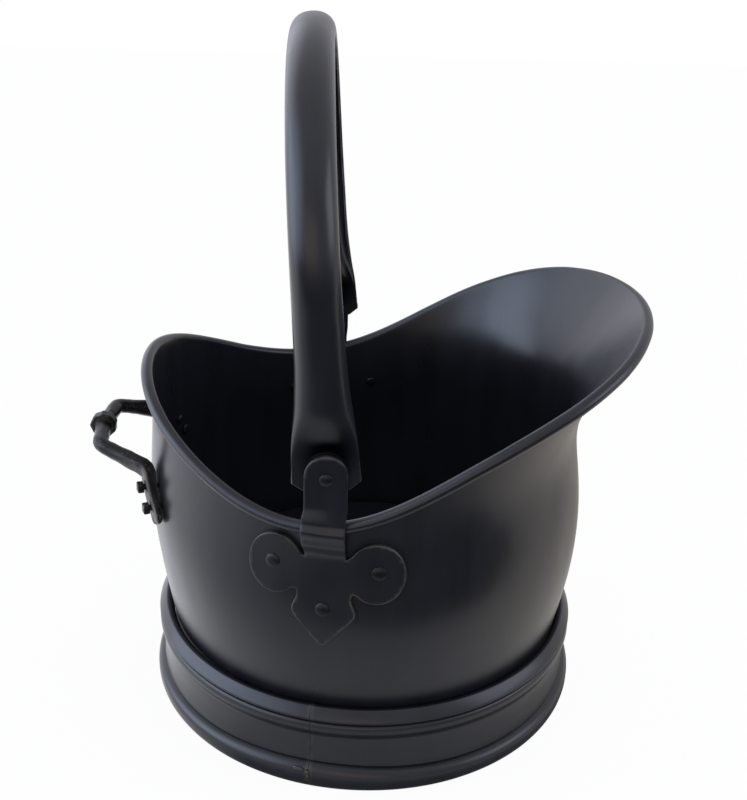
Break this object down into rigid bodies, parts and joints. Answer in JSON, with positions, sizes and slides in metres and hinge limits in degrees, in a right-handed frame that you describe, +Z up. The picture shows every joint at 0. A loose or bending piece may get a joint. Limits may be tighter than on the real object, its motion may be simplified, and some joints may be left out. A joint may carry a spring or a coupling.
{
  "type": "log bucket",
  "caption": "Helmet-shaped sheet-steel fireside bucket with a pouring spout, a moulded foot band, a swinging bail handle and a small forged rear handle.",
  "frame": {"origin": "centre of the footprint on the floor, halfway between the spout's lip and the rear handle", "axes": "+Z up, +X towards the spout, the bail turns about Y"},
  "size_m": [0.3567, 0.2992, 0.4397],
  "materials": {
    "satin_black": "satin",
    "inner_black": "satin",
    "forged_black": "rough forged, blackened",
    "rivet_black": "satin"
  },
  "bodies": {
    "bucket": {"body_shell": "satin_black", "rim_wire": "rivet_black", "floor_pan": "inner_black", "foot_band": "satin_black", "ear_right": "satin_black", "ear_left": "satin_black", "ear_right_rivet_front": "rivet_black", "ear_right_rivet_rear": "rivet_black", "ear_right_rivet_point": "rivet_black", "ear_left_rivet_front": "rivet_black", "ear_left_rivet_rear": "rivet_black", "ear_left_rivet_point": "rivet_black", "pivot_rivet_right": "rivet_black", "pivot_rivet_left": "rivet_black", "pivot_washer_right": "rivet_black", "pivot_washer_left": "rivet_black", "rear_handle": "forged_black", "rear_bolt_right_upper": "forged_black", "rear_bolt_right_lower": "forged_black", "rear_bolt_left_upper": "forged_black", "rear_bolt_left_lower": "forged_black"},
    "bail": {"bail_handle": "satin_black"}
  },
  "joints": [
    {"name": "bail_swing", "type": "hinge", "parent": "bucket", "child": "bail", "pos_m": [-0.02185, 0, 0.2148], "axis": [0, 1, 0], "range_deg": [-94, 77]}
  ]
}
